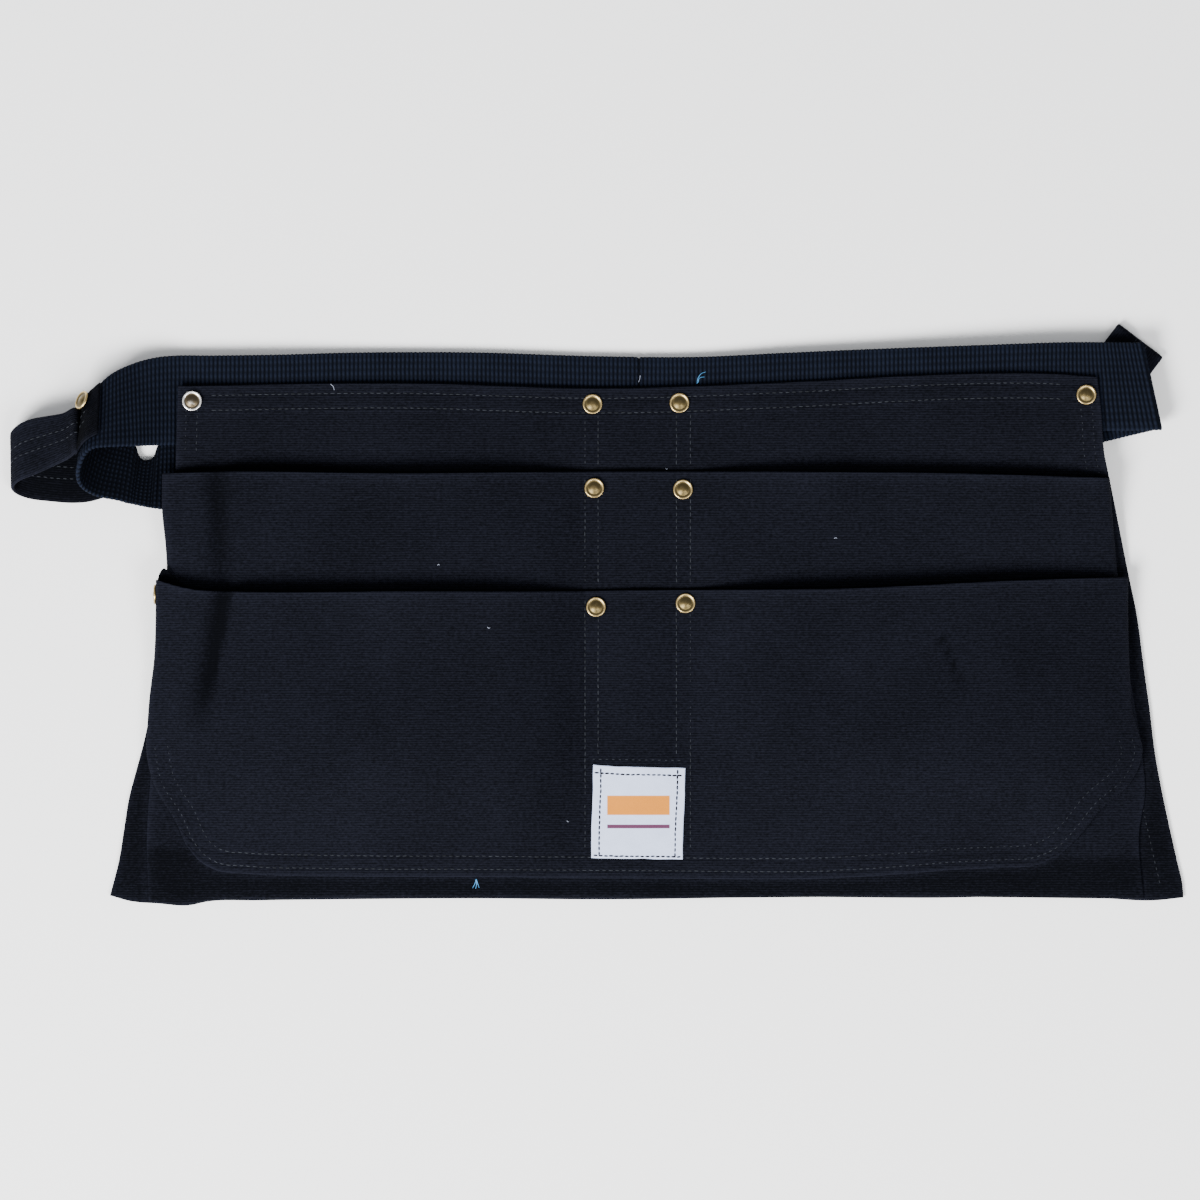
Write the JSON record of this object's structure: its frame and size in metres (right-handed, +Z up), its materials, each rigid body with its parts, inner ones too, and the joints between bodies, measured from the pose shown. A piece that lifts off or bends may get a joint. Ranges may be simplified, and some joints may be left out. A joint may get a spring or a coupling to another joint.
{
  "type": "carpenter nail apron",
  "caption": "Waist apron lying flat: duck back panel on a webbing belt, two tiers of open pockets, hammer loops at both ends, woven label patch and brass rivets.",
  "frame": {"origin": "on the surface the apron lies on, below the middle of its outline", "axes": "+X along the belt to the wearer's left, +Y from the hem to the belt, +Z up off the surface"},
  "size_m": [0.5878, 0.2912, 0.0313],
  "materials": {
    "duck": "near-black cotton duck, matt, fine ribs",
    "webbing": "heavy navy webbing, coarse vertical columns",
    "strap": "near-black duck strap, twin stitched",
    "label": "white woven label, satin",
    "rivet": "antique brass, worn rim",
    "buckle": "plain black moulding"
  },
  "bodies": {
    "root": {"back_panel": "duck", "upper_pocket": "duck", "lower_pocket": "duck", "waist_belt": "webbing", "belt_buckle": "buckle", "hammer_loop_left": "strap", "hammer_loop_right": "strap", "label_patch": "label", "rivet_corner_left": "rivet", "rivet_corner_right": "rivet", "rivet_waist_left": "rivet", "rivet_waist_right": "rivet", "rivet_upper_left": "rivet", "rivet_upper_right": "rivet", "rivet_lower_left": "rivet", "rivet_lower_right": "rivet", "rivet_side_left": "rivet", "rivet_hammer_loop": "rivet"}
  },
  "joints": []
}
